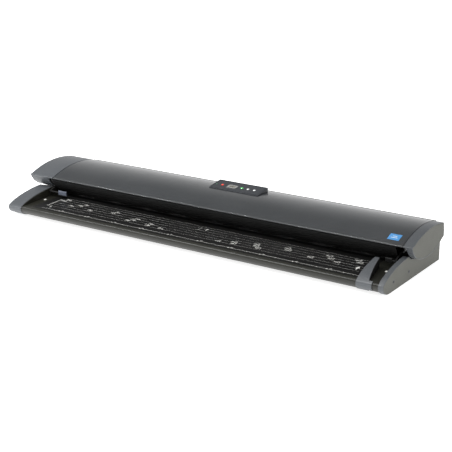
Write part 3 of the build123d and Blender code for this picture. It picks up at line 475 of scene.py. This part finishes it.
finishes = {
    "cover_black": moulded_plastic(
        "satin_black_cover",
        (0.025, 0.028, 0.031),
        (0.033, 0.037, 0.041),
        0.38,
        pebbles=1500.0,
        depth=0.08,
        wear_and_highlight=0.25,
        dust=0.05,
        marks=0.35,
        coat=0.6,
        coat_roughness=0.1,
    ),
    "slate_grey": moulded_plastic(
        "slate_grey_grain",
        (0.062, 0.069, 0.077),
        (0.075, 0.082, 0.091),
        0.5,
        pebbles=1100.0,
        depth=0.3,
        wear_and_highlight=0.3,
        dust=0.08,
        coat=0.25,
        coat_roughness=0.22,
    ),
    # A warmer copy of the slate plastic: painted side light for the faces that look out to the ends.
    "end_grey": moulded_plastic(
        "side_lit_grey_grain",
        (0.072, 0.074, 0.062),
        (0.085, 0.087, 0.074),
        0.6,
        pebbles=1100.0,
        depth=0.35,
        wear_and_highlight=0.25,
        dust=0.05,
    ),
    "deck_black": moulded_plastic(
        "gloss_black_deck",
        (0.012, 0.012, 0.009),
        (0.019, 0.019, 0.014),
        0.34,
        pebbles=1600.0,
        depth=0.08,
        wear_and_highlight=0.3,
        dust=0.03,
        marks=0.3,
        specular=0.4,
    ),
    "insert_black": moulded_plastic(
        "printed_guide_sheet",
        (0.006, 0.006, 0.006),
        (0.011, 0.011, 0.011),
        0.3,
        pebbles=2600.0,
        depth=0.04,
        wear_and_highlight=0.1,
        dust=0.02,
        marks=0.4,
        specular=0.3,
    ),
    "recess_black": moulded_plastic(
        "matt_black_recess",
        (0.006, 0.006, 0.006),
        (0.011, 0.011, 0.011),
        0.6,
        pebbles=900.0,
        depth=0.25,
        wear_and_highlight=0.15,
        dust=0.05,
        specular=0.3,
    ),
    "chassis_black": moulded_plastic(
        "powder_coated_pan",
        (0.02, 0.02, 0.02),
        (0.032, 0.032, 0.032),
        0.55,
        pebbles=700.0,
        depth=0.5,
        wear_and_highlight=0.6,
        dust=0.15,
    ),
    "steel": drawn_metal("plated_sheet_steel", (0.42, 0.43, 0.44), (0.58, 0.59, 0.6), 0.32),
    "aluminium": drawn_metal("extruded_aluminium", (0.55, 0.56, 0.57), (0.74, 0.75, 0.76), 0.38),
    "brass": drawn_metal(
        "sintered_bush", (0.5, 0.36, 0.16), (0.72, 0.55, 0.28), 0.4, stretch=(400.0, 400.0, 400.0)
    ),
    "screw_black": drawn_metal(
        "black_oxide_screw", (0.018, 0.018, 0.02), (0.035, 0.035, 0.038), 0.42, metallic=0.8
    ),
    "roller_rubber": rubber("ground_roller_rubber", (0.035, 0.035, 0.036), (0.06, 0.06, 0.06), 0.7, 0.35),
    "foot_rubber": rubber("moulded_foot_rubber", (0.015, 0.015, 0.015), (0.028, 0.028, 0.028), 0.75, 0.25),
    "belt_rubber": rubber("drive_belt_rubber", (0.012, 0.012, 0.012), (0.024, 0.024, 0.024), 0.65, 0.2),
    "white_plate": moulded_plastic(
        "calibration_white", (0.78, 0.78, 0.75), (0.84, 0.84, 0.82), 0.5, depth=0.1, wear_and_highlight=0.0, dust=0.1
    ),
    "scan_glass": clear_part("wiped_scan_glass", (0.86, 0.92, 0.9), 0.03),
    "lens_clear": clear_part("rod_lens_strip", (0.75, 0.82, 0.86), 0.08),
    "sensor_grey": moulded_plastic(
        "sensor_body_grey", (0.045, 0.046, 0.05), (0.07, 0.072, 0.078), 0.5, depth=0.2
    ),
    "board_green": circuit_board("green_circuit_board"),
    "fascia_black": moulded_plastic(
        "keypad_sheet",
        (0.02, 0.023, 0.029),
        (0.028, 0.032, 0.039),
        0.42,
        pebbles=2400.0,
        depth=0.12,
        wear_and_highlight=0.2,
        dust=0.04,
    ),
    # The display tint and the keycaps glow though they hold no lamp: painted glow. The status light pipe's
    # glow stands for its lamp.
    "display": lit_segment("display_window_tint", (0.05, 0.052, 0.055), (0.085, 0.088, 0.09), 0.1),
    "button_red": lit_segment("red_keycap", (0.75, 0.05, 0.03), (0.95, 0.11, 0.07), 0.35),
    "button_green": lit_segment("green_keycap", (0.08, 0.5, 0.12), (0.16, 0.68, 0.22), 0.35),
    "button_white": lit_segment("white_keycap", (0.74, 0.76, 0.76), (0.9, 0.92, 0.92), 0.15),
    "status_green": lit_segment("green_light_pipe", (0.08, 0.3, 0.14), (0.16, 0.5, 0.24), 0.3),
    "tab_grey": moulded_plastic(
        "blue_grey_tab", (0.095, 0.11, 0.145), (0.12, 0.135, 0.175), 0.45, depth=0.2, wear_and_highlight=0.35
    ),
    "label_blue": moulded_plastic(
        "blank_blue_label", (0.06, 0.27, 0.6), (0.09, 0.33, 0.68), 0.35, pebbles=3000.0, depth=0.05, wear_and_highlight=0.0
    ),
    # Print ink with a painted glow, though it is no lamp.
    "sensor_white": lit_segment("white_print_ink", (0.72, 0.72, 0.68), (0.84, 0.84, 0.8), 0.15),
}
# The screen and its outline ink glow with painted light; neither is a lamp.
beige_screen = lit_segment("beige_screen", (0.13, 0.12, 0.085), (0.18, 0.165, 0.12), 0.1)
grey_outline = lit_segment("grey_outline_ink", (0.22, 0.22, 0.21), (0.3, 0.3, 0.29), 0.05)


def dress(piece, finish):
    """One finish all over a piece."""
    piece.data.materials.clear()
    piece.data.materials.append(finish)


for node_name, node in nodes.items():
    dress(node, finishes[node_slot[node_name]])


# ---------------------------------------------------------------- making pieces


def only(piece):
    """Leaves one piece selected and active."""
    bpy.ops.object.select_all(action="DESELECT")
    piece.select_set(True)
    bpy.context.view_layer.objects.active = piece


def settle(piece):
    """Moves a piece's place and turn into its mesh."""
    only(piece)
    bpy.ops.object.transform_apply(location=True, rotation=True, scale=True)


def apply_modifiers(piece):
    only(piece)
    for modifier in list(piece.modifiers):
        bpy.ops.object.modifier_apply(modifier=modifier.name)


def round_edges(piece, width, segments=3, angle=35.0):
    """Rounds the sharp edges and evens the shading over them."""
    rounding = piece.modifiers.new("rounded_edges", "BEVEL")
    rounding.width = width
    rounding.segments = segments
    rounding.limit_method = "ANGLE"
    rounding.angle_limit = math.radians(angle)
    rounding.use_clamp_overlap = False
    rounding.miter_outer = "MITER_ARC"
    apply_modifiers(piece)
    bpy.ops.object.shade_smooth_by_angle(angle=math.radians(40))
    shading = piece.modifiers.new("even_shading", "WEIGHTED_NORMAL")
    shading.keep_sharp = True
    apply_modifiers(piece)


def finished_moulding(node_name, width, segments=3, angle=35.0):
    """A moulding with its edges rounded, in place of the plain one."""
    piece = bpy.data.objects.new(node_name + "_moulding", nodes[node_name].data.copy())
    bpy.context.scene.collection.objects.link(piece)
    only(piece)
    bpy.ops.mesh.customdata_custom_splitnormals_clear()
    bpy.ops.object.mode_set(mode="EDIT")
    bpy.ops.mesh.select_all(action="SELECT")
    bpy.ops.mesh.remove_doubles(threshold=0.01 * mm)
    bpy.ops.mesh.dissolve_limited(angle_limit=math.radians(0.7))
    bpy.ops.mesh.normals_make_consistent(inside=False)
    bpy.ops.object.mode_set(mode="OBJECT")
    round_edges(piece, width * mm, segments, angle)
    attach(piece, nodes[node_name]["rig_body"])
    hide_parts(node_name)
    dress(piece, finishes[node_slot[node_name]])
    return piece


mouldings = {
    "left_cheek": 1.4,
    "right_cheek": 1.4,
    "left_lid_cap": 1.2,
    "right_lid_cap": 1.2,
    "lid_cover": 0.8,
    "front_deck": 0.8,
    "edge_guide": 0.8,
    "panel_housing": 1.2,
    "end_plates": 0.8,
    "rear_cover": 0.7,
    "left_latch_tab": 0.9,
    "panel_fascia": 0.4,
}
made = {name: finished_moulding(name, width) for name, width in mouldings.items()}

# The cheeks' outward faces take the warmer grey, which paints side light onto the same slate plastic.
side_lit_facing = 0.97
for cheek_name, outward in (("left_cheek", -1.0), ("right_cheek", 1.0)):
    cheek = made[cheek_name]
    cheek.data.materials.append(finishes["end_grey"])
    for face in cheek.data.polygons:
        if face.normal.x * outward > side_lit_facing:
            face.material_index = 1

# The slate guide's side toward the cheek is painted black as the shade in the narrow gap.
shaded_side_facing = 0.6
guide = made["edge_guide"]
guide.data.materials.append(finishes["recess_black"])
for face in guide.data.polygons:
    if face.normal.x > shaded_side_facing:
        face.material_index = 1


# ---------------------------------------------------------------- printed guide sheet

sheet_low, sheet_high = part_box("guide_insert")
sheet_corners = [vertex.co for vertex in nodes["guide_insert"].data.vertices]
sheet_front = max(corner.z for corner in sheet_corners if corner.y < sheet_low.y + mm)
sheet_slope = math.atan2(sheet_high.z - sheet_front, sheet_high.y - sheet_low.y)
ink_height = 0.05 * mm
centre_x = (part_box("scan_glass")[0].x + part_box("scan_glass")[1].x) / 2
printed = []


def printed_line(x0, x1, up, width=0.5):
    """A line along the sheet, up being its distance from the sheet's front edge."""
    bpy.ops.object.select_all(action="DESELECT")
    bpy.ops.mesh.primitive_plane_add(size=1.0, location=((x0 + x1) / 2 * mm, up * mm, 0.0))
    line = bpy.context.view_layer.objects.active
    line.scale = ((x1 - x0) * mm, width * mm, 1.0)
    settle(line)
    printed.append(line)
    return line


def printed_bar(x, up0, up1, width=0.6):
    """A short line up the sheet."""
    bpy.ops.object.select_all(action="DESELECT")
    bpy.ops.mesh.primitive_plane_add(size=1.0, location=(x * mm, (up0 + up1) / 2 * mm, 0.0))
    bar = bpy.context.view_layer.objects.active
    bar.scale = (width * mm, (up1 - up0) * mm, 1.0)
    settle(bar)
    printed.append(bar)
    return bar


def repeated(line, count, step):
    """The same line again and again, step millimetres on."""
    rows = line.modifiers.new("rows", "ARRAY")
    rows.use_relative_offset = False
    rows.use_constant_offset = True
    rows.constant_offset_displace = (step[0] * mm, step[1] * mm, 0.0)
    rows.count = count
    apply_modifiers(line)


def printed_dot(x, up, radius=1.3):
    bpy.ops.object.select_all(action="DESELECT")
    bpy.ops.mesh.primitive_circle_add(
        vertices=20, radius=radius * mm, fill_type="NGON", location=(x * mm, up * mm, 0.0)
    )
    dot = bpy.context.view_layer.objects.active
    settle(dot)
    printed.append(dot)


def printed_arrow(x, up, size):
    """An arrowhead with its shaft, pointing into the scanner."""
    bpy.ops.object.select_all(action="DESELECT")
    bpy.ops.mesh.primitive_circle_add(
        vertices=3, radius=size * mm, fill_type="NGON", location=(x * mm, (up + size) * mm, 0.0)
    )
    head = bpy.context.view_layer.objects.active
    settle(head)
    printed.append(head)
    printed_bar(x, up - size, up + size, size * 0.45)


def printed_number(text, x, up, size=6.0):
    """A number, turned to be read from the front."""
    bpy.ops.object.select_all(action="DESELECT")
    bpy.ops.object.text_add(location=(0.0, 0.0, 0.0))
    number = bpy.context.view_layer.objects.active
    number.data.body = text
    number.data.size = size * mm
    number.data.offset = 0.03 * size * mm
    number.data.align_x = "CENTER"
    number.data.resolution_u = 2
    bpy.ops.object.convert(target="MESH")
    number = bpy.context.view_layer.objects.active
    number.location = (x * mm, up * mm, 0.0)
    settle(number)
    printed.append(number)


centre = centre_x / mm
rule_up = 11.0
rule_left, rule_right = centre - 519.0, centre + 541.0
printed_line(rule_left, rule_right, rule_up, 0.8)
repeated(printed_bar(centre - 510.0, rule_up - 2.0, rule_up, 0.25), 105, (10.0, 0.0))
for step in range(-4, 6):
    place = centre + step * 100.0 - 50.0
    printed_dot(place, rule_up, 2.3)
    printed_number(str(abs(step) * 100 + 50), place + 9.0, rule_up + 2.6, 5.0)
for place in (-210.0, 210.0, 297.0, 420.5, 497.0):
    printed_dot(centre + place, rule_up, 1.5)

row_starts = {36.0: 519.0, 52.0: 512.0, 68.0: 505.0, 84.0: 498.0, 100.0: 490.0}
for up, reach in row_starts.items():
    printed_line(centre - reach, centre + 530.0, up, 0.32)
printed_line(centre - 500.0, centre + 528.0, 114.0, 0.4)
for shift in (0.0, 3.0):
    printed_bar(centre - 519.0 + shift, 33.0, 100.0, 0.8)
printed_bar(centre - 498.0, 98.0, 114.0, 0.8)

size_marks = {
    "210": (105.0, 36.0),
    "297": (148.5, 52.0),
    "305": (152.5, 40.0),
    "420": (210.0, 68.0),
    "432": (216.0, 56.0),
    "457": (228.5, 44.0),
    "594": (297.0, 84.0),
    "610": (305.0, 72.0),
    "762": (381.0, 58.0),
    "841": (420.5, 90.0),
    "864": (432.0, 76.0),
    "914": (457.0, 62.0),
    "1000": (500.0, 101.0),
    "1067": (510.0, 88.0),
}
for text, (half, up) in size_marks.items():
    for side in (-1.0, 1.0):
        place = centre + side * half
        printed_number(text, place - side * 10.0, up, 8.0)
        printed_bar(place, up - 2.0, up + 9.0, 1.2)
        printed_line(min(place, place - side * 6.0), max(place, place - side * 6.0), up + 9.0, 1.2)
printed_arrow(centre + 21.0, 96.0, 5.0)
printed_bar(centre, 84.0, 108.0, 0.9)
printed_arrow(centre + 514.0, 52.0, 7.0)
printed_arrow(centre - 500.0, 26.0, 3.5)

bpy.ops.object.select_all(action="DESELECT")
for mark in printed:
    mark.select_set(True)
bpy.context.view_layer.objects.active = printed[0]
bpy.ops.object.join()
guide_print = printed[0]
guide_print.name = "guide_print"
guide_print.location = (0.0, sheet_low.y, sheet_front + ink_height)
guide_print.rotation_euler = (sheet_slope, 0.0, 0.0)
settle(guide_print)
ink = guide_print.modifiers.new("ink_thickness", "SOLIDIFY")
ink.thickness = ink_height
ink.offset = -1.0
apply_modifiers(guide_print)
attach(guide_print, "base")
dress(guide_print, finishes["sensor_white"])


# ---------------------------------------------------------------- control panel's markings

panel_low, panel_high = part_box("panel_fascia")
window_low, window_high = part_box("display_window")
fascia_tops = [vertex.co for vertex in nodes["panel_fascia"].data.vertices]
front_top = max(corner.z for corner in fascia_tops if corner.y < panel_low.y + 4 * mm)
back_top = max(corner.z for corner in fascia_tops if corner.y > panel_high.y - 4 * mm)
panel_rise, panel_run = 9.5, 60.0
panel_tilt = math.atan2(panel_rise, panel_run)
panel_middle_y = (panel_low.y + panel_high.y) / 2
panel_middle_z = (front_top + back_top) / 2
window_x = (window_low.x + window_high.x) / 2
window_y = (window_low.y + window_high.y) / 2


def raised_pad(name, x, up, width, length, thickness, corner, lift):
    """A flat rounded pad on the panel: x across, up along its slope from its middle."""
    bpy.ops.object.select_all(action="DESELECT")
    bpy.ops.mesh.primitive_plane_add(size=1.0, location=(0.0, 0.0, 0.0))
    pad = bpy.context.view_layer.objects.active
    pad.name = name
    pad.scale = (width, length, 1.0)
    settle(pad)
    bpy.ops.object.mode_set(mode="EDIT")
    bpy.ops.mesh.select_all(action="SELECT")
    bpy.ops.mesh.bevel(offset=corner, segments=5, affect="VERTICES")
    bpy.ops.mesh.extrude_region_move(TRANSFORM_OT_translate={"value": (0.0, 0.0, thickness)})
    bpy.ops.mesh.select_all(action="SELECT")
    bpy.ops.mesh.normals_make_consistent(inside=False)
    bpy.ops.object.mode_set(mode="OBJECT")
    pad.rotation_euler = (panel_tilt, 0.0, 0.0)
    across = Vector((0.0, math.cos(panel_tilt), math.sin(panel_tilt)))
    above = Vector((0.0, -math.sin(panel_tilt), math.cos(panel_tilt)))
    middle = Vector((0.0, panel_middle_y, panel_middle_z))
    pad.location = middle + Vector((x, 0.0, 0.0)) + across * up + above * lift
    settle(pad)
    return pad


def outline_of(pad, wall):
    """Turns a pad into a thin frame of itself."""
    only(pad)
    bpy.ops.object.mode_set(mode="EDIT")
    bpy.ops.mesh.select_all(action="DESELECT")
    shape = bmesh.from_edit_mesh(pad.data)
    for face in shape.faces:
        face.select = len(face.verts) > 4
    bpy.ops.mesh.inset(thickness=wall)
    bpy.ops.mesh.bridge_edge_loops()
    bpy.ops.object.mode_set(mode="OBJECT")


def fit_to_lid(piece, finish):
    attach(piece, "lid")
    dress(piece, finish)


window_up = (window_y - panel_middle_y) / math.cos(panel_tilt)
print_lift = 0.03 * mm
screen = raised_pad("display_screen", window_x, window_up, 20 * mm, 8 * mm, 0.25 * mm, 1 * mm, print_lift)
fit_to_lid(screen, beige_screen)
rim = raised_pad("display_outline", window_x, window_up, 32 * mm, 18 * mm, 0.2 * mm, 5 * mm, print_lift)
rim_width = 0.9 * mm
outline_of(rim, rim_width)
fit_to_lid(rim, grey_outline)

text_area = 18.0
text_first_up = 1.6
text_pitch = 3.2
for line_number, line_width in enumerate((16.0, 12.0)):
    text_bar = raised_pad(
        "display_text_bar_%d" % line_number,
        window_x - (text_area - line_width) / 2 * mm,
        window_up + (text_first_up - text_pitch * line_number) * mm,
        width=line_width * mm,
        length=1.0 * mm,
        thickness=0.12 * mm,
        corner=0.4 * mm,
        lift=0.28 * mm,
    )
    fit_to_lid(text_bar, finishes["display"])


# ---------------------------------------------------------------- label's plain print

label_low, label_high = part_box("blank_label")
label_corners = [vertex.co for vertex in nodes["blank_label"].data.vertices]
label_front = max(corner.z for corner in label_corners if corner.y < label_low.y + mm)
label_crown = 0.45 * mm
label_bar_depth = 1.1 * mm
label_bar_thickness = 0.6 * mm
label_slope = math.atan2(label_high.z - label_front, label_high.y - label_low.y)
for bar_number, (bar_up, bar_width) in enumerate(((0.36, 18.0), (0.6, 11.0))):
    bpy.ops.object.select_all(action="DESELECT")
    bpy.ops.mesh.primitive_cube_add(size=1.0, location=(0.0, 0.0, 0.0))
    bar = bpy.context.view_layer.objects.active
    bar.name = "label_bar_%d" % bar_number
    bar.scale = (bar_width * mm, label_bar_depth, label_bar_thickness)
    bar.rotation_euler = (label_slope, 0.0, 0.0)
    crown = label_crown * bar_up * (1 - bar_up) * 4
    bar.location = (
        (label_low.x + label_high.x) / 2,
        label_low.y + (label_high.y - label_low.y) * bar_up,
        label_front + (label_high.z - label_front) * bar_up + crown,
    )
    settle(bar)
    fit_to_lid(bar, finishes["sensor_white"])


# ---------------------------------------------------------------- camera, light and floor

camera = bpy.data.objects.new("camera", bpy.data.cameras.new("camera"))
camera.location = (1.699, -2.4685, 0.9943)
camera.rotation_euler = (math.radians(72.174), 0.0, math.radians(33.703))
camera.data.lens = 87.935
camera.data.sensor_width = 36.0
bpy.context.scene.collection.objects.link(camera)
bpy.context.scene.camera = camera


def soft_light(name, place, aim, width, depth, power, colour=(1.0, 1.0, 1.0)):
    """A soft box that looks at a point."""
    light = bpy.data.lights.new(name, "AREA")
    light.shape = "RECTANGLE"
    light.size = width
    light.size_y = depth
    light.energy = power
    light.color = colour
    box = bpy.data.objects.new(name, light)
    box.location = place
    box.rotation_euler = (Vector(aim) - Vector(place)).to_track_quat("-Z", "Y").to_euler()
    bpy.context.scene.collection.objects.link(box)
    return box


soft_light("overhead_box", (0.2, -0.4, 3.4), (0.2, 0.0, 0.0), 2.4, 2.0, 54.0)
soft_light("front_strip", (-1.5, -1.3, 2.2), (-1.5, 0.0, 0.1), 2.3, 0.08, 60.0)
soft_light("right_fill", (3.0, -0.4, 1.0), (0.6, 0.0, 0.05), 1.4, 1.0, 9.0, (1.0, 0.97, 0.88))
soft_light("left_fill", (-2.4, -1.4, 1.2), (-0.6, 0.0, 0.05), 1.2, 1.0, 6.0, (0.93, 0.97, 1.0))

bpy.ops.object.select_all(action="DESELECT")
bpy.ops.mesh.primitive_plane_add(size=24.0, location=(0.0, 0.0, 0.0))
floor = bpy.context.view_layer.objects.active
floor.name = "studio_floor"
paper, paper_tree, paper_shader = new_finish("pale_floor")
paper_tone = noise_on_object(paper_tree, 3.0, 4.0)
wire(
    paper_tree,
    blend_colours(
        paper_tree,
        ramp(paper_tree, paper_tone.outputs["Fac"], 0.3, 0.7),
        grey(0.9),
        grey(0.93),
    ),
    paper_shader.inputs["Base Color"],
)
wire(
    paper_tree,
    ramp(paper_tree, paper_tone.outputs["Fac"], 0.3, 0.7, 0.86, 0.94),
    paper_shader.inputs["Roughness"],
)
paper_shader.inputs["Emission Color"].default_value = grey(1.0)
paper_shader.inputs["Emission Strength"].default_value = 0.8
paper_shader.inputs["Specular IOR Level"].default_value = 0.1
dress(floor, paper)

world = bpy.data.worlds.new("pale_studio")
world.use_nodes = True
sky = world.node_tree
direction = sky.nodes.new("ShaderNodeTexCoord")
parts_of_direction = sky.nodes.new("ShaderNodeSeparateXYZ")
wire(sky, direction.outputs["Generated"], parts_of_direction.inputs[0])
wire(
    sky,
    ramp(sky, parts_of_direction.outputs["Z"], 0.1, 0.62, 1.0, 0.22),
    sky.nodes["Background"].inputs["Strength"],
)
sky.nodes["Background"].inputs["Color"].default_value = grey(1.0)
bpy.context.scene.world = world
bpy.context.scene.view_settings.view_transform = "Standard"
